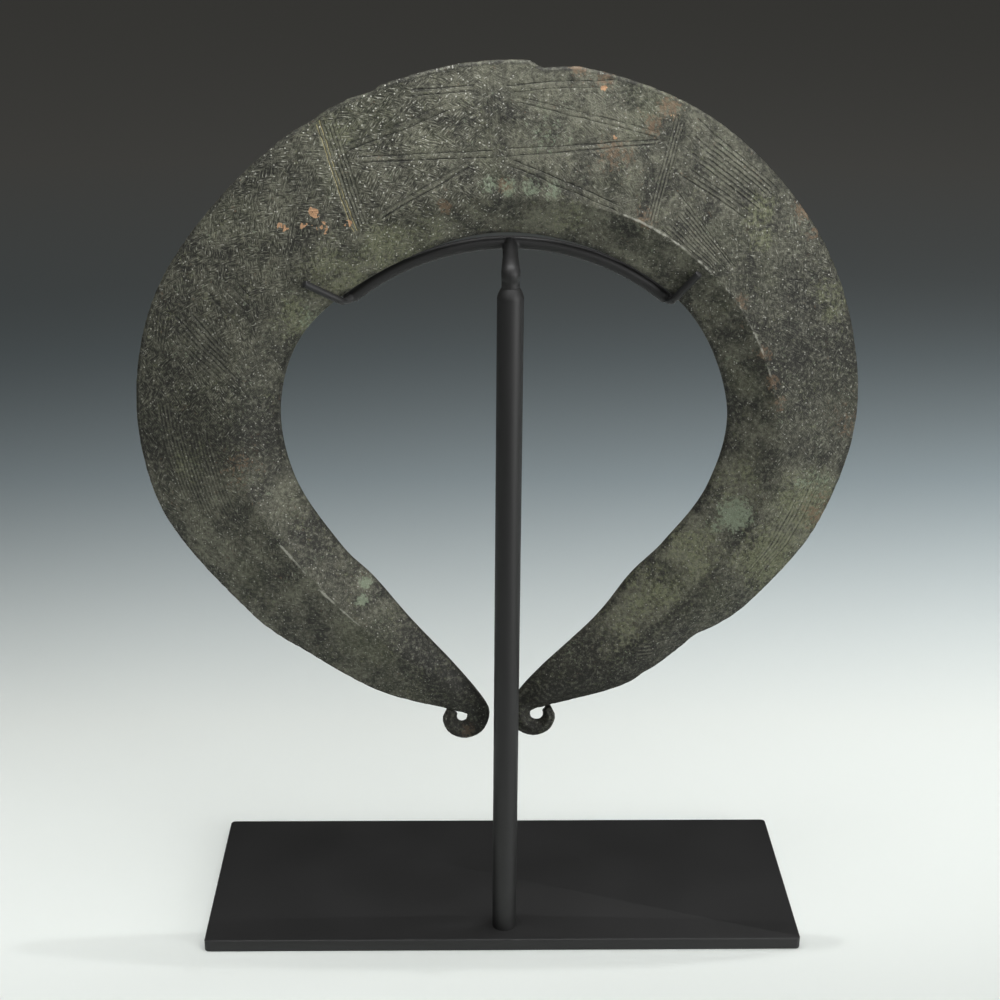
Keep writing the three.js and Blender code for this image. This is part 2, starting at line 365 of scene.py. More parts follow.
@dataclass(frozen=True)
class PatinatedBronze:
    """Cast tin bronze under an old patina: dark, grainy and dull, with painted glints where specks
    catch the light.

    Rubbed places along the crest show pale metal under a painted highlight, damp ones pale green
    salts, and fresh chips the bright copper.
    Colours are sRGB hex, sizes millimetres.
    """

    name: str = "patinated_cast_bronze"
    dark: int = 0x32322C
    mid: int = 0x68685A
    olive: int = 0x5A5E48
    pale: int = 0x8C8C7C
    verdigris: int = 0x85917B
    rust: int = 0x76624E
    copper: int = 0xB48E6C
    # Pale wear with a painted highlight.
    wear_and_highlight: int = 0xB4B4A8
    straw: int = 0x7C8060
    brass: int = 0xA39A72
    shade: int = 0x1E1E1A
    glint: int = 0xD6D6CC
    cloud_size: float = 11.0
    tint_size: float = 34.0
    grain_size: float = 1.5
    speck_size: float = 0.8
    shard_size: float = 1.7
    flake_size: float = 1.2
    bloom_size: float = 8.0
    bloom_share: float = 0.5
    mark_share: float = 0.3
    stroke_length: float = 1.9
    stroke_width: float = 0.47
    weave_size: float = 3.4
    line_width: float = 0.75
    wobble_size: float = 2.2
    wobble: float = 0.4
    slants: tuple[float, ...] = (38.0, -44.0)
    stroke_depth: float = 0.08
    grain_depth: float = 0.36
    line_depth: float = 0.9
    metallic: float = 0.35

    def material(self) -> Material:
        """Make the material.

        Returns:
            The material, which reads the ring's marks_a, marks_b, lines and band_mm attributes.
        """
        mix = Mixture(self.name)
        marks = dict(zip(Mark, self.channels(mix, "marks_a") + self.channels(mix, "marks_b")))
        scale = per_metre(self.grain_size)
        grain = mix.add(
            "TexNoise", {"Vector": mix.coords, "Scale": scale, "Detail": 4.0, "Roughness": 0.75}
        )
        strokes = self.strokes(mix)
        lines, straw_lines, hatch = self.lines(mix)
        masks = {"grain": grain, "lines": lines, "straw_lines": straw_lines, "hatch": hatch}
        for name, low, high, mark in (
            ("ridges", 0.45, 0.62, Mark.WOVEN),
            ("gaps", 0.5, 0.36, Mark.WOVEN),
            ("dashes", 0.65, 0.74, Mark.GLINT),
        ):
            found = mix.add("MapRange", {"Value": strokes, "From Min": low, "From Max": high})
            masks[name] = mix.add("Math", {0: found, 1: marks[mark]}, operation="MULTIPLY")
        specks = {0: self.specks(mix), 1: marks[Mark.GLINT]}
        masks["specks"] = mix.add("Math", specks, operation="MULTIPLY")
        roughness = mix.add(
            "MapRange",
            {"Value": grain, "From Min": 0.3, "From Max": 0.7, "To Min": 0.7, "To Max": 0.44},
        )
        height: object = 0.0
        for value, depth in (
            (grain, self.grain_depth),
            (masks["ridges"], self.stroke_depth),
            (lines, -self.line_depth),
        ):
            height = mix.add("Math", {0: value, 1: depth, 2: height}, operation="MULTIPLY_ADD")
        return mix.shade(
            {
                "Base Color": self.colour(mix, masks, marks),
                "Roughness": roughness,
                "Metallic": self.metallic,
                "Normal": mix.add("Bump", {"Height": height, "Strength": 1.0, "Distance": MM}),
            }
        )

    def lines(self, mix: Mixture) -> tuple[NodeSocket, ...]:
        """Hand-cut lines, uneven along their length.

        Args:
            mix: The material.

        Returns:
            Their depth in millimetres, how stained they are, and the ridges between close lines.
        """
        index, gap, depth, stain = self.channels(mix, "lines")
        whole = mix.add("Math", {0: index}, operation="ROUND")
        part = mix.add("Math", {0: index, 1: whole}, operation="SUBTRACT")
        aside = mix.add("Math", {0: part, 1: gap}, operation="MULTIPLY")
        scale = per_metre(self.wobble_size)
        shake = mix.add("TexNoise", {"Vector": mix.coords, "Scale": scale, "Detail": 2.0})
        wobble = {"Value": shake, "To Min": -self.wobble, "To Max": self.wobble}
        moved = mix.add("Math", {0: aside, 1: mix.add("MapRange", wobble)}, operation="ADD")
        away = mix.add("Math", {0: moved}, operation="ABSOLUTE")
        groove = mix.add(
            "MapRange",
            {"Value": away, "From Min": self.line_width / 2, "From Max": 0.0},
            interpolation_type="SMOOTHSTEP",
        )
        uneven = mix.add(
            "MapRange", {"Value": shake, "From Min": 0.35, "From Max": 0.6, "To Min": 0.35}
        )
        cut = mix.add("Math", {0: groove, 1: uneven}, operation="MULTIPLY")
        halfway = mix.add("Math", {0: part}, operation="ABSOLUTE")
        ridge = mix.add("MapRange", {"Value": halfway, "From Min": 0.22, "From Max": 0.42})
        close = mix.add("MapRange", {"Value": gap, "From Min": 2.4, "From Max": 1.8})
        raised = mix.add("Math", {0: ridge, 1: close}, operation="MULTIPLY")
        return tuple(
            mix.add("Math", {0: found, 1: share}, operation="MULTIPLY")
            for found, share in ((cut, depth), (cut, stain), (raised, depth))
        )

    @staticmethod
    def channels(mix: Mixture, name: str) -> list[NodeSocket]:
        """Read one of the ring's own attributes.

        Args:
            mix: The material.
            name: The attribute's name.

        Returns:
            Its four channels.
        """
        colour = mix.add("Attribute", attribute_name=name)
        parts = mix.add("SeparateColor", {"Color": colour}).node.outputs
        return [*parts, colour.node.outputs["Alpha"]]

    def strokes(self, mix: Mixture) -> NodeSocket:
        """Short punched strokes in two crossing directions, as in a plaited mat.

        Args:
            mix: The material.

        Returns:
            Their height, mostly between 0.3 and 0.7.
        """
        band = mix.add("Attribute", output="Vector", attribute_name="band_mm")
        narrow = (1 / self.stroke_length, 1 / self.stroke_width, 1.0)
        ways = []
        for slant in self.slants:
            turned = mix.add("VectorRotate", {"Vector": band, "Angle": math.radians(slant)})
            drawn = mix.add("VectorMath", {0: turned, 1: narrow}, operation="MULTIPLY")
            ways.append(mix.add("TexNoise", {"Vector": drawn, "Scale": 1.0, "Detail": 1.0}))
        scale = 1 / self.weave_size
        weave = mix.add("TexNoise", {"Vector": band, "Scale": scale, "Detail": 0.0})
        choice = mix.add("MapRange", {"Value": weave, "From Min": 0.46, "From Max": 0.54})
        return mix.add("Mix", {0: choice, 2: ways[0], 3: ways[1]})

    def specks(self, mix: Mixture) -> NodeSocket:
        """Painted glints of light, drawn coarser than real ones so that they show.

        Args:
            mix: The material.

        Returns:
            1 in a speck and 0 between them.
        """
        scale = per_metre(self.speck_size)
        away = mix.add("TexVoronoi", {"Vector": mix.coords, "Scale": scale})
        chance = mix.add("SeparateColor", {"Color": away.node.outputs["Color"]})
        rare = mix.add("MapRange", {"Value": chance, "From Min": 0.9, "From Max": 0.95})
        dot = mix.add("MapRange", {"Value": away, "From Min": 0.42, "From Max": 0.15})
        return mix.add("Math", {0: rare, 1: dot}, operation="MULTIPLY")

    def colour(
        self, mix: Mixture, masks: dict[str, NodeSocket], marks: dict[Mark, NodeSocket]
    ) -> NodeSocket:
        """Lay the patina's colours over each other.

        Args:
            mix: The material.
            masks: The surface's fine features by name.
            marks: What is stored on the ring.

        Returns:
            The surface colour.
        """
        cloud, tint, flake, bloom = (
            mix.add(
                "TexNoise",
                {"Vector": mix.coords, "Scale": per_metre(size), "Detail": 5.0, "Roughness": 0.62},
            )
            for size in (self.cloud_size, self.tint_size, self.flake_size, self.bloom_size)
        )
        shard = mix.add(
            "TexVoronoi",
            {"Vector": mix.coords, "Scale": per_metre(self.shard_size), "Randomness": 1.0},
            distance="MANHATTAN",
        )
        flakes, blooms, shards = (
            mix.add("SeparateColor", {"Color": found.node.outputs["Color"]}).node.outputs
            for found in (flake, bloom, shard)
        )
        parts = ((Mark.COPPER, shards[0]), (Mark.WORN, flakes[0]), (Mark.SOOT, flakes[0]))
        broken = {
            mark: mix.add("Math", {0: marks[mark], 1: part}, operation="MULTIPLY")
            for mark, part in parts
        }
        for mark, small, large in zip((Mark.RUST, Mark.VERDIGRIS, Mark.STRAW), flakes, blooms):
            broken[mark] = small
            for part, share in ((large, self.bloom_share), (marks[mark], self.mark_share)):
                inputs = {0: part, 1: share, 2: broken[mark]}
                broken[mark] = mix.add("Math", inputs, operation="MULTIPLY_ADD")
        layers = (
            (cloud, 0.4, 0.62, 1.0, self.mid),
            (tint, 0.5, 0.66, 0.4, self.olive),
            # Painted shade with darker patina, laid under the fine texture; its heaviest places are
            # darkened again below.
            (broken[Mark.SOOT], 0.0, 0.48, 0.9, self.shade),
            (broken[Mark.STRAW], 0.84, 1.06, 0.6, self.straw),
            (masks["grain"], 0.5, 0.68, 0.45, self.pale),
            (masks["grain"], 0.48, 0.34, 0.58, self.shade),
            # Painted highlight on the strokes' ridges and between close lines, and painted shade in
            # the strokes' gaps.
            (masks["ridges"], 0.3, 1.0, 0.28, self.pale),
            (masks["gaps"], 0.15, 0.9, 0.62, self.shade),
            (masks["hatch"], 0.02, 0.15, 0.3, self.pale),
            # Painted glints: bright dashes along the strokes and bright specks.
            (masks["dashes"], 0.1, 0.8, 0.5, self.glint),
            (masks["specks"], 0.0, 0.8, 0.75, self.glint),
            (broken[Mark.RUST], 0.92, 1.05, 0.72, self.rust),
            (broken[Mark.VERDIGRIS], 0.9, 1.04, 0.7, self.verdigris),
            (masks["lines"], 0.01, 0.13, 0.8, self.shade),
            (masks["straw_lines"], 0.2, 0.7, 0.8, self.brass),
            # The heaviest painted shade and dark patina, darkened again over everything.
            (broken[Mark.SOOT], 0.3, 0.75, 0.55, self.shade),
            # Pale wear with a painted highlight along the crest.
            (broken[Mark.WORN], 0.24, 0.56, 0.72, self.wear_and_highlight),
            (broken[Mark.COPPER], 0.48, 0.5, 1.0, self.copper),
        )
        colour: object = linear(self.dark)
        for mask, low, high, most, over in layers:
            colour = mix.glaze(colour, over, mask, low, high, most)
        return colour


@dataclass(frozen=True)
class SatinBlackPaint:
    """Sprayed black paint over steel: near black, a soft sheen and a very fine orange peel."""

    name: str = "satin_black_paint"
    colour: int = 0x1A1A1A
    dust: int = 0x1E1E1E
    dust_size: float = 30.0
    peel_size: float = 0.9
    peel_depth: float = 0.012

    def material(self) -> Material:
        """Make the material.

        Returns:
            The material.
        """
        mix = Mixture(self.name)
        cloud, peel = (
            mix.add("TexNoise", {"Vector": mix.coords, "Scale": per_metre(size), "Detail": detail})
            for size, detail in ((self.dust_size, 5.0), (self.peel_size, 1.0))
        )
        height = mix.add("Math", {0: peel, 1: self.peel_depth}, operation="MULTIPLY")
        return mix.shade(
            {
                "Base Color": mix.glaze(linear(self.colour), self.dust, cloud, 0.4, 0.75),
                "Roughness": mix.add("MapRange", {"Value": cloud, "To Min": 0.48, "To Max": 0.6}),
                "Normal": mix.add("Bump", {"Height": height, "Distance": MM}),
            }
        )


@dataclass(frozen=True)
class SeamlessPaper:
    """Pale matt background paper, with a painted bluish shade a little behind the stand and a pale
    neutral tone farther back, over spans in metres.
    """

    name: str = "seamless_background_paper"
    colour: int = 0xE3E8E4
    # Painted bluish shade on the paper behind the stand.
    cool_painted_shade: int = 0xC8D8DE
    far: int = 0xE6E6E1
    spans: tuple[tuple[float, float], ...] = ((0.15, 0.5), (0.8, 1.7))
    roughness: float = 0.85

    def material(self) -> Material:
        """Make the material.

        Returns:
            The material.
        """
        mix = Mixture(self.name)
        behind = mix.add("SeparateXYZ", {"Vector": mix.coords}, "Y")
        colour: object = linear(self.colour)
        for span, over in zip(self.spans, (self.cool_painted_shade, self.far)):
            colour = mix.glaze(colour, over, behind, *span)
        return mix.shade({"Base Color": colour, "Roughness": self.roughness})


@dataclass(frozen=True)
class Station:
    """One measured section of the ring.

    Attributes:
        angle: Degrees clockwise from the top.
        rim: Radius of the rim.
        crest: Radius of the crest.
        edge: Radius of the inner edge.
        rise: Share of the full height at which the crest stands.
        blunt: How far the crest is rounded over.
    """

    angle: float
    rim: float
    crest: float
    edge: float
    rise: float
    blunt: float


@dataclass(frozen=True)
class Curl:
    """A limb's tip, rolled outwards into an eyelet."""

    side: int
    eye: tuple[float, float]
    eye_radius: float
    roll_start: float
    roll_end: float


@dataclass(frozen=True)
class Lines:
    """Engraved lines side by side; start and end are angles and radii, ends_cut a share."""

    start: tuple[float, float]
    end: tuple[float, float]
    count: int
    spacing: float
    end_spacing: float
    depth: float = 0.19
    stain: float = 0.0
    ends_cut: float = 0.05
    curved: bool = False

    def corners(self, place: Callable[[float, float], np.ndarray]) -> list[np.ndarray]:
        """Find where the outer lines start and end.

        Args:
            place: Gives an angle's and radius's point in the plane that the lines are straight in.

        Returns:
            Start and end of the first line, then start and end of the last.
        """
        ends = [place(*self.start), place(*self.end)]
        along = (ends[1] - ends[0]) / np.linalg.norm(ends[1] - ends[0])
        sideways = np.array((along[1], -along[0])) * (self.count - 1) / 2
        gaps = (self.spacing, self.end_spacing)
        return [end + sideways * gap * way for way in (-1, 1) for end, gap in zip(ends, gaps)]


@dataclass(frozen=True)
class Fan:
    """Hatching: lines spread between a first and a last one, each given by its start and end."""

    first: tuple[tuple[float, float], tuple[float, float]]
    last: tuple[tuple[float, float], tuple[float, float]]
    count: int
    depth: float
    stain: float = 0.0
    ends_cut: float = 0.3
    curved: bool = False

    def corners(self, place: Callable[[float, float], np.ndarray]) -> list[np.ndarray]:
        """Find where the outer lines start and end.

        Args:
            place: Gives an angle's and radius's point in the plane that the lines are straight in.

        Returns:
            Start and end of the first line, then start and end of the last.
        """
        return [place(*end) for line in (self.first, self.last) for end in line]


@dataclass(frozen=True)
class Chip:
    """A dent in the rim: its deepest point, its depth, and the degrees it takes to each side."""

    angle: float
    depth: float
    before: float
    after: float


@dataclass(frozen=True)
class Patch:
    """A stained place: its angle, radius, reach in millimetres, and strength."""

    angle: float
    radius: float
    reach: float
    strength: float


@dataclass
class Torc:
    """The cast neck ring, with a thin rim, an engraved band, a crest, a bevel and rolled tips."""

    centre: Place = (-3.0, -25.8, 212.0)
    rim_half: float = 1.25
    edge_half: float = 1.75
    edge_round: float = 1.0
    back_swell: float = 2.6
    back_fullness: float = 1.2
    crest_height: float = 8.5
    band_crown: float = 0.35
    curl_crest: float = 2.7
    curl_blunt: float = 3.0
    tip_round: float = 0.6
    mean_radius: float = 107.0
    fine_step: float = 0.42
    coarse_step: float = 1.3
    readings: int = 200
    fine_reach: float = 82.0
    line_half_width: float = 0.6
    groove_shape: float = 1.5
    crisp_blunt: float = 1.2
    blunt_limit: float = 3.0
    blunt_fade: float = 4.0
    hammer_size: float = 17.0
    hammer_depth: float = 0.3
    dimple_size: float = 4.5
    dimple_depth: float = 0.14
    rim_wear: float = 0.3
    nick_size: float = 3.6
    full_width: float = 42.0
    least_slim: float = 0.12
    stations: tuple[Station, ...] = (
        Station(-170, 116, 104.5, 96.4, 0.6, 2.0),
        Station(-157, 115.9, 96.0, 83.2, 0.78, 1.5),
        Station(-142, 115.4, 90.4, 75, 0.9, 0.4),
        Station(-128, 118.8, 89.0, 74.3, 0.96, 0.3),
        Station(-104, 128, 94.2, 76.9, 1, 1.1),
        Station(-82, 131.2, 94.6, 79.2, 1, 6.0),
        Station(-60, 129.8, 91.2, 77.3, 1, 6.0),
        Station(-30, 128.2, 85.8, 70.6, 1, 7.0),
        Station(0, 130.6, 84.8, 71.6, 1, 1.0),
        Station(30, 132.8, 90.0, 74, 1, 0.3),
        Station(58, 132.7, 95.4, 80.1, 1, 0.3),
        Station(84, 130.8, 99.4, 83, 1, 1.0),
        Station(106, 125.2, 101, 80.2, 1, 7.0),
        Station(126, 117.9, 99.7, 76.3, 0.96, 6.0),
        Station(139, 112.7, 99.6, 76.2, 0.9, 5.0),
        Station(154, 115, 103.8, 84.2, 0.78, 3.0),
        Station(170, 114.8, 109.4, 97.9, 0.6, 2.0),
    )
    curls: tuple[Curl, ...] = (
        Curl(-1, (-16.4, 94.1), 1.9, 11.7, 6.8),
        Curl(1, (12.5, 95.2), 2.4, 12.0, 6.4),
    )
    curl_angles: tuple[float, ...] = (40, 80, 125, 170, 215, 260, 303)
    rows: tuple[tuple[Face, int], ...] = (
        (Face.EDGE, 5), (Face.BEVEL, 12), (Face.BAND, 68), (Face.RIM, 5), (Face.BACK, 7),
    )
    engraving: tuple[Lines | Fan, ...] = (
        Lines((-28.6, 126), (-33.0, 88), 6, 1.3, 1.2, 0.15, 1.0),
        Lines((28.5, 128), (34.0, 92.5), 4, 1.2, 1.1, 0.14),
        Lines((-2.0, 126), (-1.6, 98), 5, 1.2, 1.1, 0.05),
        Lines((-15.0, 123.2), (-4, 121.8), 2, 1.9, 1.9),
        Lines((-27.6, 114.2), (-8.4, 116.8), 2, 2.1, 2.1),
        Lines((-27.3, 109.5), (-0.8, 100), 2, 1.9, 2.3, 0.21),
        Lines((-28.8, 88.9), (-6.2, 97.4), 2, 1.9, 1.9, 0.21),
        Lines((0.3, 121.2), (17.4, 129.2), 2, 2.3, 2.3),
        Lines((1.0, 118.4), (27.6, 119.4), 2, 1.8, 1.8),
        Lines((-0.4, 100), (27.6, 117.4), 2, 2.5, 1.3),
        Lines((1.5, 97.2), (26.5, 91.6), 2, 2.2, 2.2),
        Lines((35.7, 92.8), (51.6, 95.8), 3, 1.2, 1.2, 0.12),
        Lines((146, 105), (149, 102), 4, 1.6, 1.6, 0.2),
        Fan(((30.8, 130), (48.5, 130)), ((31.7, 111.6), (50, 116.7)), 12, 0.15),
        Fan(((32.6, 107.5), (53.6, 102.2)), ((35.2, 94.5), (54.4, 96.6)), 9, 0.16),
        Fan(((-68, 131), (-77, 127)), ((-67.7, 125), (-76.5, 123)), 5, 0.12),
        Fan(((-72.8, 125), (-81.4, 96.4)), ((-66.5, 121), (-75, 92)), 9, 0.12),
        Fan(((-64.5, 112), (-66.5, 98)), ((-59, 110), (-61, 96)), 5, 0.1),
        Fan(((-120.6, 114.5), (-124, 105)), ((-129, 114), (-133, 104)), 9, 0.14),
        Fan(((-84, 124), (-108, 116.4)), ((-86, 104), (-115, 100)), 15, 0.12, curved=True),
        Fan(((98, 120), (126, 112)), ((100, 110), (122, 106)), 7, 0.12, curved=True),
    )
    waver: float = 0.35
    depth_spread: tuple[float, float] = (0.5, 1.1)
    line_margin: float = 2.0
    end_fade: tuple[float, float] = (-0.5, 1.0)
    stained_lines: int = 2
    solve_rounds: int = 4
    seed: int = 7
    chips: tuple[Chip, ...] = (
        Chip(6.2, 2.1, 2.2, 5.0), Chip(-20.0, 0.9, 4.0, 1.2), Chip(-31.0, 0.7, 3.0, 3.0),
        Chip(138.0, 0.7, 4.0, 3.0), Chip(150.0, 0.6, 2.5, 3.5),
    )
    patches: dict[Mark, tuple[Patch, ...]] = field(
        default_factory=lambda: {
            Mark.VERDIGRIS: (
                Patch(110.5, 93.2, 7.0, 1.2), Patch(114.0, 89.0, 5.0, 0.8),
                Patch(-140.8, 78.3, 2.2, 1.4), Patch(-142.8, 83.9, 2.6, 1.4),
                Patch(-2.5, 89.8, 3.5, 0.7), Patch(2.0, 89.4, 4.0, 0.75),
                Patch(6.5, 89.4, 4.5, 0.8), Patch(11.0, 89.8, 4.0, 0.7),
                Patch(-58.5, 78.5, 5.0, 0.7), Patch(9.0, 109.0, 8.0, 0.5),
                Patch(100.0, 116.0, 9.0, 0.5),
            ),
            Mark.RUST: (
                Patch(15.8, 129.0, 4.0, 0.85), Patch(11.6, 130.4, 4.0, 0.7),
                Patch(26.5, 128.9, 4.5, 0.95), Patch(25.1, 121.0, 4.0, 0.85),
                Patch(21.5, 107.0, 7.5, 0.85), Patch(32.3, 93.2, 4.5, 0.9),
                Patch(0.8, 89.0, 3.0, 1.0), Patch(-13.2, 84.2, 3.0, 1.0),
                Patch(52.6, 131.7, 3.6, 0.95), Patch(56.5, 131.0, 3.2, 0.85),
                Patch(60.0, 97.6, 3.0, 0.9), Patch(72.0, 98.8, 3.6, 1.0),
                Patch(78.5, 99.6, 3.0, 0.9), Patch(83.0, 100.6, 3.0, 0.8),
                Patch(88.0, 127.0, 9.0, 0.6), Patch(104.5, 123.5, 10.0, 0.6),
                Patch(-98.0, 95.0, 9.0, 0.55), Patch(-174.9, 123.5, 4.0, 0.8),
            ),
            Mark.COPPER: (
                Patch(-38.8, 102.3, 2.3, 1.2), Patch(-39.4, 96.5, 3.2, 1.1),
                Patch(-41.9, 100.2, 2.6, 1.0), Patch(-45.3, 105.8, 2.4, 1.0),
                Patch(-34.8, 92.5, 2.0, 1.0), Patch(20.1, 112.4, 1.3, 1.0),
                Patch(16.0, 126.0, 1.7, 1.0), Patch(27.4, 126.5, 1.3, 0.8),
            ),
            # Darkened places, partly painted shade: under the crest at the right, the left flank,
            # the lower limbs and the tips.
            Mark.SOOT: (
                Patch(31.0, 86.3, 4.0, 0.9), Patch(35.0, 87.0, 5.0, 0.45),
                Patch(-93.0, 92.0, 15.0, 0.7), Patch(-84.0, 120.0, 18.0, 0.5),
                Patch(-172.0, 105.0, 18.0, 1.1), Patch(-177.0, 120.0, 16.0, 1.3),
                Patch(172.0, 106.0, 18.0, 1.1), Patch(177.0, 120.0, 16.0, 1.3),
                Patch(150.0, 112.0, 12.0, 0.9), Patch(162.0, 113.0, 12.0, 1.1),
            ),
            Mark.STRAW: (
                Patch(-30.0, 78.0, 11.0, 0.8), Patch(-45.0, 82.0, 11.0, 0.75),
                Patch(-60.0, 83.0, 8.0, 0.7), Patch(-18.0, 78.0, 7.0, 0.7),
                Patch(15.0, 80.0, 8.0, 0.5), Patch(116.0, 112.0, 14.0, 0.95),
                Patch(104.0, 117.0, 13.0, 0.85), Patch(104.0, 90.0, 12.0, 0.45),
                Patch(122.0, 87.0, 12.0, 0.65), Patch(138.0, 86.0, 12.0, 0.7),
                Patch(150.0, 92.0, 9.0, 0.45), Patch(48.5, 119.5, 6.5, 0.85),
                Patch(52.0, 116.0, 5.0, 0.75), Patch(66.5, 127.0, 6.0, 0.75),
                Patch(69.5, 126.0, 5.0, 0.6), Patch(-28.0, 120.0, 6.0, 0.5),
                Patch(-96.0, 112.0, 9.0, 0.4),
            ),
        }
    )
    woven: AngleTable = (
        (-175, 0.35), (-130, 0.5), (-100, 0.7), (-72, 0.9), (-36, 0.9), (-26, 1.05), (-8, 0.95),
        (0, 0.55), (24, 0.5), (36, 0.4), (60, 0.6), (100, 0.6), (140, 0.45), (175, 0.35),
    )
    # How many painted glints there are, by angle.
    glints: AngleTable = (
        (-175, 0.4), (-110, 0.55), (-50, 0.6), (-34, 1.0), (-26, 1.5), (-8, 1.2), (6, 0.5),
        (30, 0.5), (60, 0.6), (110, 0.5), (175, 0.3),
    )
    # Painted shade with some darker patina, by angle: how far the band and rim are darkened where
    # the light on them falls off.
    band_gloom: AngleTable = (
        (-165, 0.5), (-150, 0.15), (-105, 0.08), (-92, 0.95), (-75, 0.45), (-60, 0.33), (-30, 0.18),
        (-12, 0), (25, 0), (45, 0.3), (60, 0.55), (75, 0.9), (90, 0.38), (105, 0), (122, 0),
        (135, 0.5), (150, 0.8), (165, 1.4),
    )
    # Painted shade with some darker patina on the bevel, by angle.
    bevel_gloom: AngleTable = (
        (-165, 1.2), (-150, 0.36), (-120, 0.36), (-105, 0.24), (-90, 1.0), (-75, 0.36), (-58, 0),
        (-15, 0), (50, 0), (72, 0.2), (125, 0.1), (150, 0.25), (165, 0.9),
    )
    # Uneven painted shade on the rim and the inner edge.
    edge_gloom: float = 0.6
    bevel_weave: float = 0.65
    cut_weave: float = 0.5
    cut_shows: float = 0.02
    side_lift: float = -0.5
    front_lift: float = 0.99
    patch_fade: tuple[float, float] = (0.2, 1.6)
    # How strong the crest's wear and painted highlight are, unevenly.
    rub_and_shine: float = 0.6
    rub_and_shine_spread: float = 0.8
    rub_and_shine_most: float = 1.2
    # Strips beside the crest: millimetres out from it, and half the width.
    # Painted shadow line just inside the crest.
    shadow_strip: tuple[float, float] = (-2.2, 2.0)
    # Strip of wear with a painted highlight along the crest.
    crisp: tuple[float, float] = (0.6, 0.55)
    # Wear and painted highlight along the crest, by angle.
    wear_and_highlight: AngleTable = (
        (-154, 0), (-146, 1.0), (-138, 1.7), (-120, 1.9), (-113, 0.3), (-108, 0), (14, 0),
        (26, 0.9), (36, 1.35), (48, 1.35), (58, 1.05), (78, 1.05), (88, 0),
    )
    # How dark the painted shadow line inside the crest is, by angle.
    shadow_strip_depth: AngleTable = ((98, 0), (110, 0.5), (130, 0.7), (150, 0.9), (165, 0.5))

    def rails(self, spans: np.ndarray) -> tuple[np.ndarray, ...]:
        """Run the rim, crest and inner edge from tip to tip.

        Args:
            spans: Where to read them, in stations from the left tip.

        Returns:
            Points of the rim, of the crest and of the edge, and the crest's bluntness.
        """
        y = self.centre[1]
        curls = [self.curl_stations(curl) for curl in self.curls]
        ring = [
            (
                polar(self.centre, s.angle, s.rim, y),
                polar(self.centre, s.angle, s.crest, y - self.crest_height * s.rise),
                polar(self.centre, s.angle, s.edge, y),
            )
            for s in self.stations
        ]
        chain = np.array([*reversed(curls[0]), *ring, *curls[1]])
        blunt = np.full(len(chain), self.curl_blunt)
        blunt[len(self.curl_angles) : -len(self.curl_angles)] = [s.blunt for s in self.stations]
        lines = [catmull_rom(chain[:, i], spans) for i in range(3)]
        return *lines, np.interp(spans, np.arange(len(chain)), blunt)

    def curl_stations(self, curl: Curl) -> list[tuple[np.ndarray, ...]]:
        """Sections of a rolled tip: the limb's rim becomes the eye, its edge the roll's outside.

        Args:
            curl: The tip.

        Returns:
            Rim, crest and edge points, from the limb to the tip's end.
        """
        y = self.centre[1]
        eye = (curl.eye[0], y, curl.eye[1])
        made = []
        for i, angle in enumerate(self.curl_angles):
            share = i / (len(self.curl_angles) - 1)
            roll = curl.roll_start + (curl.roll_end - curl.roll_start) * share
            turn = -curl.side * angle
            made.append(
                (
                    polar(eye, turn, curl.eye_radius, y),
                    polar(eye, turn, (curl.eye_radius + roll) / 2, y - self.curl_crest),
                    polar(eye, turn, roll, y),
                )
            )
        return made

    def columns(self) -> np.ndarray:
        """Where to cut sections: close together on the engraved arch, wider on the limbs.

        Returns:
            Places along the rails, in stations from the left tip.
        """
        last = len(self.stations) + 2 * len(self.curl_angles) - 1
        dense = np.linspace(0, last, self.readings * last + 1)
        rim, crest, edge, _ = self.rails(dense)
        walk = np.linalg.norm(np.diff((rim + crest + edge) / 3, axis=0), axis=1)
        angle = self.angle_of(crest)[1:]
        step = np.where(np.abs(angle) < self.fine_reach, self.fine_step, self.coarse_step)
        count = np.concatenate(([0], np.cumsum(walk / step)))
        return np.interp(np.linspace(0, count[-1], round(count[-1]) + 1), count, dense)

    def angle_of(self, points: np.ndarray) -> np.ndarray:
        """Degrees clockwise from the top at which points stand about the ring's centre."""
        across = points[..., 0] - self.centre[0]
        return np.degrees(np.arctan2(across, points[..., 2] - self.centre[2]))

    def section_rows(self) -> list[tuple[Face, float]]:
        """Rows of the section in order round it, each with its share of the way over its face.

        Returns:
            The face and the share of each row.
        """
        made = []
        for face, count in self.rows:
            if face in (Face.EDGE, Face.RIM):
                shares = np.linspace(0, 1, count)
            elif face is Face.BEVEL:
                shares = np.linspace(0, 1, count + 1)[1:]
            else:
                shares = np.linspace(0, 1, count + 2)[1:-1]
            made.extend((face, float(share)) for share in shares)
        return made

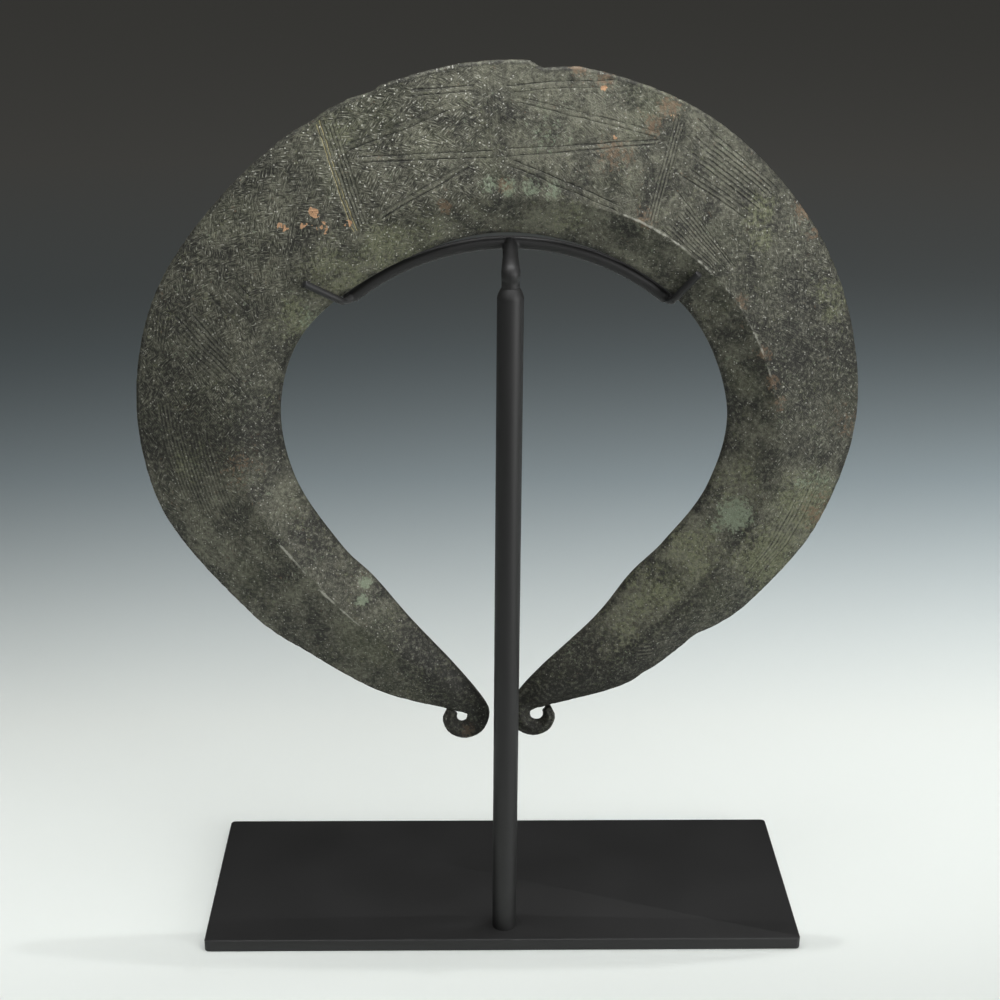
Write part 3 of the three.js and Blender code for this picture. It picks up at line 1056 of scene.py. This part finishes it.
    def skin(self) -> tuple[np.ndarray, dict[str, np.ndarray]]:
        """Lay out the ring's surface as rows round it and columns along it.

        Returns:
            The points in millimetres, [column, row], and what the finish reads at each point.
        """
        rim, crest, edge, blunt = self.rails(self.columns())
        outward = rim - edge
        width = np.linalg.norm(outward, axis=1, keepdims=True)
        outward = outward / width
        rim_core = rim - outward * self.rim_wear_at(rim) - outward * self.edge_round
        edge_core = edge + outward * self.edge_round
        rim_front = rim_core + FORWARD * self.rim_half
        edge_front = edge_core + FORWARD * self.edge_half
        rise = ((crest - (rim_front + edge_front) / 2) @ FORWARD).clip(0)
        sides = (rim_front, edge_front)
        slopes = [rise / np.linalg.norm(side - crest, axis=1) / 2 for side in sides]
        points, lifts, across, kinds = [], [], [], []
        for face, share in self.section_rows():
            lift = 1.0
            reach = np.zeros(len(rim))
            if face in (Face.EDGE, Face.RIM):
                core, half, way = rim_core, self.rim_half, 1
                if face is Face.EDGE:
                    core, half, way = edge_core, self.edge_half, -1
                turn = math.pi * (share - 0.5) * -way
                lift = math.sin(turn)
                place = core + outward * way * self.edge_round * math.cos(turn)
                place = place + FORWARD * half * lift
            elif face is Face.BACK:
                lift = -1.0
                half = self.rim_half + (self.edge_half - self.rim_half) * share
                full = min(1.0, math.sin(math.pi * share) * self.back_fullness)
                swell = half + (self.back_swell - half) * full
                place = rim_core + (edge_core - rim_core) * share - FORWARD * swell
                reach = width[:, 0] * (1 + share)
            else:
                foot = edge_front if face is Face.BEVEL else rim_front
                away = 1 - share if face is Face.BEVEL else share
                place = crest + (foot - crest) * away
                reach = np.linalg.norm(place - crest, axis=1)
                drop = sum(slopes) * (np.sqrt(reach**2 + blunt**2) - reach)
                fade = min(1.0, self.blunt_fade * (1 - away))
                drop = np.minimum(drop, rise / self.blunt_limit) * fade
                crown = self.band_crown * (1 - (2 * away - 1) ** 2) if face is Face.BAND else 0.0
                place = place + FORWARD * (crown - drop)[:, None]
            points.append(place)
            lifts.append(np.full(len(rim), lift))
            across.append(reach if face is Face.BAND else -reach)
            kinds.append(np.full(len(rim), list(Face).index(face)))
        grid = np.stack(points, axis=1)
        walk = np.linalg.norm(np.diff(crest, axis=0), axis=1)
        along = np.concatenate(([0], np.cumsum(walk)))[:, None] * np.ones(grid.shape[1])
        marks = {
            "along": along,
            "across": np.stack(across, axis=1),
            "face": np.stack(kinds, axis=1),
            "lift": np.stack(lifts, axis=1),
            "slim": np.clip(width / self.full_width, self.least_slim, 1) * np.ones(grid.shape[1]),
        }
        return self.weather(grid, marks)

    def rim_wear_at(self, rim: np.ndarray) -> np.ndarray:
        """How far the rim is worn or chipped back.

        Args:
            rim: Points along the rim.

        Returns:
            The loss at each point, in millimetres, as a column.
        """
        angle = self.angle_of(rim)
        loss = self.rim_wear * np.abs(rough(rim, self.nick_size, 3))
        for chip in self.chips:
            side = np.where(angle < chip.angle, chip.before, chip.after)
            loss += chip.depth * np.clip(1 - np.abs(angle - chip.angle) / side, 0, 1)
        return loss[:, None]

    def flat(self, points: np.ndarray, curved: bool) -> np.ndarray:
        """Lay points out in the plane that a set of lines is straight in.

        Args:
            points: Points of the ring.
            curved: Whether the lines follow the ring's curve.

        Returns:
            Two coordinates for each point, in millimetres.
        """
        plane = points[..., (0, 2)]
        if not curved:
            return plane
        radius = np.linalg.norm(plane - np.array(self.centre)[[0, 2]], axis=-1)
        return np.stack((np.radians(self.angle_of(points)) * self.mean_radius, radius), axis=-1)

    def engrave(self, grid: np.ndarray) -> np.ndarray:
        """Find each point's place among the engraved lines.

        Args:
            grid: Points of the ring.

        Returns:
            Four values for each point: its place across its set of lines, counted in lines; the
            millimetres between two of them; how deep they are there; and how stained.
        """
        made = np.zeros((*grid.shape[:2], 4))
        chance = np.random.default_rng(self.seed)
        waver = self.waver * rough(grid, self.hammer_size, 2)
        for lines in self.engraving:
            plane = self.flat(grid, lines.curved)
            a, b, c, d = lines.corners(
                lambda *place: self.flat(polar(self.centre, *place, 0.0), lines.curved)
            )
            share, along = np.full(grid.shape[:2], 0.5), np.zeros(grid.shape[:2])
            for _ in range(self.solve_rounds):
                start = a + (c - a) * share[..., None]
                way = b + (d - b) * share[..., None] - start
                along = ((plane - start) * way).sum(-1) / (way**2).sum(-1)
                side = a + (b - a) * along[..., None]
                across = c + (d - c) * along[..., None] - side
                share = ((plane - side) * across).sum(-1) / (across**2).sum(-1)
            length = np.linalg.norm(way, axis=-1)
            index = share * (lines.count - 1) + waver
            gap = np.linalg.norm(across, axis=-1) / (lines.count - 1)
            nearest = np.clip(np.round(index), 0, lines.count - 1).astype(int)
            cuts = chance.uniform(0, lines.ends_cut, (2, lines.count))[:, nearest]
            depth = lines.depth * chance.uniform(*self.depth_spread, lines.count)[nearest]
            into = np.minimum(along - cuts[0], 1 - cuts[1] - along) * length
            out = np.abs(index - (lines.count - 1) / 2) - lines.count / 2
            depth = depth * smooth_step(*self.end_fade, into) * (out < 0)
            stain = lines.stain * (nearest >= lines.count - self.stained_lines) * (depth > 0)
            past = np.maximum(np.maximum(-along, along - 1) * length, out * gap)
            over = (past < self.line_margin) & (depth >= made[..., 2])
            made[over] = np.stack((index, gap, depth, stain), axis=-1)[over]
        return made

    def weather(
        self, grid: np.ndarray, marks: dict[str, np.ndarray]
    ) -> tuple[np.ndarray, dict[str, np.ndarray]]:
        """Engrave, hammer and stain the bare surface.

        Args:
            grid: The bare surface's points.
            marks: What is known of each point.

        Returns:
            The finished points, and the attributes that the finish reads.
        """
        plane = grid[..., (0, 2)]
        on_band, on_rim, on_edge = (
            marks["face"] == list(Face).index(face) for face in (Face.BAND, Face.RIM, Face.EDGE)
        )
        lines = self.engrave(grid)
        aside = np.abs(lines[..., 0] - np.round(lines[..., 0])) * lines[..., 1]
        groove = np.clip(1 - (aside / self.line_half_width) ** 2, 0, 1) ** self.groove_shape
        lines[..., 2:] *= on_band[..., None]
        cut = lines[..., 2] * groove
        hammer = self.hammer_depth * rough(grid, self.hammer_size, 2)
        dimple = rough(grid, self.dimple_size, 2)
        raised = (hammer + self.dimple_depth * dimple) * marks["slim"] - cut
        finished = grid + FORWARD * (raised * marks["lift"])[..., None]
        angle = self.angle_of(grid)
        noted = {mark: np.zeros(grid.shape[:2]) for mark in Mark}
        seen = marks["lift"] > self.side_lift
        for mark, patches in self.patches.items():
            for patch in patches:
                at = polar(self.centre, patch.angle, patch.radius, 0.0)[[0, 2]]
                gap = np.linalg.norm(plane - at, axis=-1) / patch.reach
                weight = patch.strength * (1 - smooth_step(*self.patch_fade, gap)) * seen
                noted[mark] = np.maximum(noted[mark], weight)
        front = marks["lift"] > self.front_lift
        plain = np.where(on_band, 1, self.bevel_weave)
        plain = plain * np.where(lines[..., 2] > self.cut_shows, self.cut_weave, 1)
        noted[Mark.WOVEN] = read_off(self.woven, angle) * plain * front
        noted[Mark.GLINT] = read_off(self.glints, angle) * (front | on_rim)
        # Painted shade with some darker patina, by angle, and uneven painted shade on the rim and
        # inner edge.
        glooms = [read_off(table, angle) for table in (self.band_gloom, self.bevel_gloom)]
        gloom = np.where(on_band | on_rim, *glooms)
        uneven = self.edge_gloom * (1 + dimple)
        gloom = np.maximum(gloom, np.where(on_rim | on_edge, uneven, 0))
        # Strips beside the crest: a painted shadow line inside it, and wear with a painted
        # highlight along it.
        shadow_strip, crisp = (
            np.exp(-(((marks["across"] - place) / width) ** 2)) * front
            for place, width in (self.shadow_strip, self.crisp)
        )
        gloom = gloom + shadow_strip * read_off(self.shadow_strip_depth, angle)
        noted[Mark.SOOT] = np.maximum(noted[Mark.SOOT], gloom)
        # Wear with a painted highlight on the strip along the crest.
        rubbed_and_shining = np.clip(self.rub_and_shine + self.rub_and_shine_spread * dimple, 0, self.rub_and_shine_most)
        noted[Mark.WORN] = crisp * rubbed_and_shining * read_off(self.wear_and_highlight, angle)
        stacked = np.stack([noted[mark] for mark in Mark], axis=-1)
        band = np.stack((marks["along"], marks["across"], np.zeros_like(angle)), axis=-1)
        return finished, {
            "marks_a": stacked[..., :4],
            "marks_b": stacked[..., 4:],
            "lines": lines,
            "band_mm": band,
        }

    def build(self) -> Object:
        """Model the ring: a ball is drawn out along it, its two poles becoming the two tips.

        Returns:
            The finished mesh.
        """
        grid, attributes = self.skin()
        crisp = self.rails(self.columns())[3] < self.crisp_blunt
        along, around = grid.shape[:2]
        clear_selection()
        bpy.ops.mesh.primitive_uv_sphere_add(segments=around, ring_count=along + 1, radius=1)
        piece = bpy.context.object
        mesh = piece.data
        ball = np.empty(len(mesh.vertices) * 3)
        mesh.vertices.foreach_get("co", ball)
        ball = ball.reshape(-1, 3)
        fall = np.arctan2(np.hypot(ball[:, 0], ball[:, 1]), ball[:, 2]) / math.pi
        turn = np.arctan2(ball[:, 1], ball[:, 0]) / (2 * math.pi)
        column = np.round(fall * (along + 1)).astype(int) - 1
        row = np.round(turn * around).astype(int) % around
        inner = np.clip(column, 0, along - 1)
        places = grid[inner, row]
        for pole, end, before in ((-1, 0, 1), (along, along - 1, along - 2)):
            middle = grid[end].mean(axis=0)
            onward = middle - grid[before].mean(axis=0)
            onward = onward / np.linalg.norm(onward) * self.tip_round
            places[column == pole] = middle + onward
        mesh.vertices.foreach_set("co", (places * MM).ravel())
        for name, values in attributes.items():
            colour = values.shape[-1] == 4
            kind = "FLOAT_COLOR" if colour else "FLOAT_VECTOR"
            layer = mesh.attributes.new(name, kind, "POINT")
            layer.data.foreach_set("color" if colour else "vector", values[inner, row].ravel())
        bpy.ops.object.mode_set(mode="EDIT")
        bpy.ops.mesh.select_all(action="SELECT")
        bpy.ops.mesh.normals_make_consistent(inside=False)
        bpy.ops.object.mode_set(mode="OBJECT")
        bpy.ops.object.shade_smooth()
        ends = np.empty(len(mesh.edges) * 2, dtype=int)
        mesh.edges.foreach_get("vertices", ends)
        first, second = ends.reshape(-1, 2).T
        crest = self.section_rows().index((Face.BEVEL, 1.0))
        sharp = (row[first] == crest) & (row[second] == crest) & crisp[inner[first]]
        layer = mesh.attributes.new("sharp_edge", "BOOLEAN", "EDGE")
        layer.data.foreach_set("value", sharp)
        return piece


@dataclass
class BasePlate:
    """The flat steel foot."""

    width: float = 236.0
    depth: float = 90.0
    thickness: float = 5.0
    corner: float = 1.8
    corner_steps: int = 6
    ease: float = 0.5
    ease_steps: int = 3

    def build(self) -> Object:
        """Model the plate: a block with rounded corners and eased edges.

        Returns:
            The finished mesh.
        """
        clear_selection()
        bpy.ops.mesh.primitive_cube_add(
            size=MM,
            location=(0, 0, self.thickness / 2 * MM),
            scale=(self.width, self.depth, self.thickness),
        )
        piece = start_editing()
        select_edges(piece, lambda a, b: abs(a.z - b.z) > self.thickness / 2 * MM)
        bpy.ops.mesh.bevel(offset=self.corner * MM, segments=self.corner_steps, affect="EDGES")
        select_edges(piece, lambda a, b: abs(a.z - b.z) < self.ease / 2 * MM)
        bpy.ops.mesh.bevel(offset=self.ease * MM, segments=self.ease_steps, affect="EDGES")
        bpy.ops.object.mode_set(mode="OBJECT")
        bpy.ops.object.shade_smooth_by_angle(angle=SMOOTH_ANGLE)
        return piece


@dataclass
class Post:
    """The round steel bar, with its end turned down to a shoulder."""

    diameter: float = 9.5
    x: float = 0.5
    y: float = -34.3
    foot: float = 5.0
    top: float = 266.0
    shoulder: float = 3.6
    neck: float = 6.5
    taper: float = 1.5
    sides: int = 64
    steps: int = 8

    def build(self) -> Object:
        """Model the bar: its top face is drawn up and in, a step at a time.

        Returns:
            The finished mesh.
        """
        straight = self.top - self.foot - self.shoulder
        clear_selection()
        bpy.ops.mesh.primitive_cylinder_add(
            vertices=self.sides,
            radius=self.diameter / 2 * MM,
            depth=straight * MM,
            location=(self.x * MM, self.y * MM, (self.foot + straight / 2) * MM),
        )
        piece = start_editing()
        bpy.ops.mesh.select_mode(type="FACE")
        bpy.ops.mesh.select_all(action="DESELECT")
        mesh = bmesh.from_edit_mesh(piece.data)
        for face in mesh.faces:
            face.select_set(face.normal.z > UPRIGHT)
        bmesh.update_edit_mesh(piece.data)
        height, radius = 0.0, self.diameter / 2
        for i in range(1, self.steps + 1):
            share = i / self.steps
            rise = self.shoulder * share
            slim = self.neck / 2 + (self.diameter - self.neck) / 2 * (1 - share**self.taper)
            bpy.ops.mesh.extrude_region_move(
                TRANSFORM_OT_translate={"value": (0, 0, (rise - height) * MM)}
            )
            bpy.ops.transform.resize(
                value=(slim / radius, slim / radius, 1),
                center_override=(self.x * MM, self.y * MM, 0),
            )
            height, radius = rise, slim
        bpy.ops.object.mode_set(mode="OBJECT")
        bpy.ops.object.shade_smooth_by_angle(angle=SMOOTH_ANGLE)
        return piece


@dataclass
class Cradle:
    """The bent neck, arched wire and two edge clips, soldered together."""

    torc: Torc
    neck: float = 6.5
    neck_top: float = 5.6
    bulge: float = 6.9
    foot: Place = (0.5, -34.3, 265.7)
    bend: float = 271.5
    wire: float = 4.7
    arc_radius: float = 88.5
    arc_centre: Place = (0.5, -23.0, 191.0)
    half_angle: float = 39.0
    clip: float = 2.7
    solder: float = 3.6
    clip_feet: tuple[float, ...] = (-48.6, 51.0)
    clip_tips: tuple[float, ...] = (-50.0, 48.6)
    clip_reach: tuple[float, ...] = (1.0, 0.88)
    clearance: float = 0.5
    back_reach: float = 11.0
    grain: float = 0.3
    blend: float = 0.5
    blend_rounds: int = 6
    wire_sides: int = 32
    arc_steps: int = 72
    neck_steps: int = 40
    clip_steps: int = 60

    def arch(self) -> Object:
        """Model the arched wire: a round section spun about the arc's centre.

        Returns:
            The wire.
        """
        start = polar(self.arc_centre, -self.half_angle, self.arc_radius, self.arc_centre[1])
        clear_selection()
        bpy.ops.mesh.primitive_circle_add(
            vertices=self.wire_sides,
            radius=self.wire / 2 * MM,
            location=start * MM,
            rotation=(0, math.radians(90 - self.half_angle), 0),
        )
        piece = start_editing()
        bpy.ops.mesh.select_all(action="SELECT")
        bpy.ops.mesh.spin(
            steps=self.arc_steps,
            angle=math.radians(-2 * self.half_angle),
            center=np.array(self.arc_centre) * MM,
            axis=(0, 1, 0),
        )
        bpy.ops.mesh.select_all(action="SELECT")
        bpy.ops.mesh.fill_holes(sides=0)
        bpy.ops.mesh.normals_make_consistent(inside=False)
        bpy.ops.object.mode_set(mode="OBJECT")
        return piece

    def stem(self) -> Object:
        """Model the neck, which leaves the post upright and leans back to the wire.

        Returns:
            The neck.
        """
        top = polar(self.arc_centre, 0, self.arc_radius, self.arc_centre[1])
        foot = np.array(self.foot)
        bend = np.array((*self.foot[:2], self.bend))
        path = np.array((foot, (foot + bend) / 2, bend, (bend + top) / 2, top))
        spans = np.linspace(0, len(path) - 1, self.neck_steps)
        sizes = (self.neck, self.neck, self.bulge, self.neck_top, self.neck_top)
        return rod("neck", catmull_rom(path, spans), np.interp(spans, range(len(path)), sizes))

    def edge_clip(self, side: int) -> list[Object]:
        """Model a clip: up the ring's front bevel, round its inner edge and up its back.

        Args:
            side: 0 at the wire's left end and 1 at its right end.

        Returns:
            The clip, and the solder that joins it to the wire.
        """
        torc = self.torc
        angles = [s.angle for s in torc.stations]
        ends = (self.clip_feet[side], self.clip_tips[side])
        spans = np.interp(ends, angles, np.arange(len(angles))) + len(torc.curl_angles)
        _, crests, edges, _ = torc.rails(spans)
        edge, crest = edges[0], edges[0] + (crests[1] - edges[0]) * self.clip_reach[side]
        ring_y = torc.centre[1]
        outward = (crest - edge) * (1, 0, 1)
        outward = outward / np.linalg.norm(outward)
        stand = self.clip / 2 + self.clearance

        def beside(out: float, y: float) -> np.ndarray:
            """Point so far out from the ring's inner edge, at this depth."""
            return (edge + outward * out) * (1, 0, 1) + np.array((0, y, 0))

        foot = beside(torc.edge_round, ring_y - torc.edge_half)
        slope = (crest - foot) / np.linalg.norm(crest - foot)
        lift = FORWARD - slope * (FORWARD @ slope)
        lift = lift / np.linalg.norm(lift) * stand
        back = ring_y + torc.back_swell + stand
        angle = (-self.half_angle, self.half_angle)[side]
        end = polar(self.arc_centre, angle, self.arc_radius, self.arc_centre[1])
        path = np.array(
            (
                crest + lift,
                (foot + crest) / 2 + lift,
                foot + lift,
                beside(-stand, ring_y - torc.edge_half / 2),
                end,
                beside(torc.edge_round + stand, back),
                beside(self.back_reach, back),
            )
        )
        spans = np.linspace(0, len(path) - 1, self.clip_steps)
        clip = rod("clip", catmull_rom(path, spans), np.full(len(spans), self.clip))
        return [clip, rod("solder", path[3:5], np.array((self.clip, self.solder)))]

    def build(self) -> Object:
        """Model the parts and run them together as solder and paint do.

        Returns:
            The finished mesh.
        """
        parts = [self.arch(), self.stem()]
        for side in range(len(self.clip_feet)):
            parts += self.edge_clip(side)
        clear_selection()
        for part in parts:
            part.select_set(True)
        bpy.context.view_layer.objects.active = parts[0]
        bpy.ops.object.join()
        piece = bpy.context.object
        apply_modifier(piece, "REMESH", mode="VOXEL", voxel_size=self.grain * MM)
        apply_modifier(piece, "SMOOTH", factor=self.blend, iterations=self.blend_rounds)
        bpy.ops.object.shade_smooth()
        return piece


@dataclass
class Softbox:
    """A studio light that looks at a point; place, aim and size in metres, power in watts."""

    name: str
    place: Place
    aim: Place
    width: float
    height: float
    power: float
    spread: float = 180.0

    def build(self) -> None:
        """Hang the light."""
        lamp = bpy.data.lights.new(self.name, "AREA")
        lamp.shape = "RECTANGLE"
        lamp.size = self.width
        lamp.size_y = self.height
        lamp.energy = self.power
        lamp.spread = math.radians(self.spread)
        holder = bpy.data.objects.new(self.name, lamp)
        bpy.context.scene.collection.objects.link(holder)
        turn = (Vector(self.aim) - Vector(self.place)).to_track_quat("-Z", "Y").to_matrix()
        holder.matrix_world = Matrix.Translation(self.place) @ turn.to_4x4()


@dataclass
class Studio:
    """The floor, the lights and the camera."""

    camera_place: Place = (-16.33, -633.29, 415.52)
    pitch: float = 20.884
    yaw: float = 1.316
    roll: float = 0.493
    focal_pixels: float = 1761.88
    image_side: float = 1000.0
    sensor: float = 36.0
    floor_side: float = 12.0
    ambient: int = 0xA09F9B
    ambient_strength: float = 0.115
    lights: tuple[Softbox, ...] = (
        Softbox("overhead_softbox", (0.12, -0.03, 0.52), (0.09, 0.09, 0.0), 1.8, 0.3, 2.82, 98.0),
        Softbox("right_softbox", (1.3, -1.04, 0.41), (0.0, 0.0, 0.22), 0.6, 0.5, 14.0),
        Softbox("front_softbox", (0.17, -0.91, 0.53), (0.0, 0.0, 0.25), 0.5, 0.3, 0.78),
        Softbox("small_lamp", (0.09, 0.03, 1.1), (0.09, 0.03, 0.0), 0.012, 0.012, 0.36, 90.0),
    )

    def aim_camera(self) -> None:
        """Set the camera where the photograph was taken from."""
        pitch, yaw, roll = (math.radians(a) for a in (self.pitch, self.yaw, self.roll))
        level = math.cos(pitch)
        ahead = Vector((math.sin(yaw) * level, math.cos(yaw) * level, -math.sin(pitch)))
        flat_right = Vector((math.cos(yaw), -math.sin(yaw), 0))
        right = flat_right * math.cos(roll) + flat_right.cross(ahead) * math.sin(roll)
        up = right.cross(ahead)
        data = bpy.data.cameras.new("camera")
        data.sensor_width = self.sensor
        data.lens = self.focal_pixels / self.image_side * self.sensor
        holder = bpy.data.objects.new("camera", data)
        bpy.context.scene.collection.objects.link(holder)
        turn = Matrix((right, up, -ahead)).transposed().to_4x4()
        holder.matrix_world = Matrix.Translation(Vector(self.camera_place) * MM) @ turn
        bpy.context.scene.camera = holder

    def lay_floor(self) -> None:
        """Lay the pale paper that the stand rests on."""
        clear_selection()
        bpy.ops.mesh.primitive_plane_add(size=self.floor_side)
        floor = bpy.context.object
        floor.name = "paper_floor"
        floor.data.materials.append(SeamlessPaper().material())

    def light(self) -> None:
        """Hang the softboxes and set the room's own faint light."""
        for softbox in self.lights:
            softbox.build()
        world = bpy.data.worlds.new("studio_room")
        world.use_nodes = True
        glow = world.node_tree.nodes["Background"]
        glow.inputs["Color"].default_value = linear(self.ambient)
        glow.inputs["Strength"].default_value = self.ambient_strength
        scene = bpy.context.scene
        scene.world = world
        scene.view_settings.view_transform = "Standard"

    def build(self) -> None:
        """Set up the whole studio."""
        self.aim_camera()
        self.lay_floor()
        self.light()


def main() -> None:
    """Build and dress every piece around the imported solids."""
    logging.basicConfig(level=logging.INFO, format="%(name)s: %(message)s")
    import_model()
    Studio().build()
    paint = SatinBlackPaint().material()
    bronze = PatinatedBronze().material()
    torc = Torc()
    settle(BasePlate().build(), "steel_base_plate", "base_plate", paint)
    settle(Post().build(), "steel_post", "post", paint)
    settle(Cradle(torc).build(), "wire_cradle", "cradle", paint)
    settle(torc.build(), "bronze_torc", "torc", bronze)


if __name__ == "__main__":
    main()
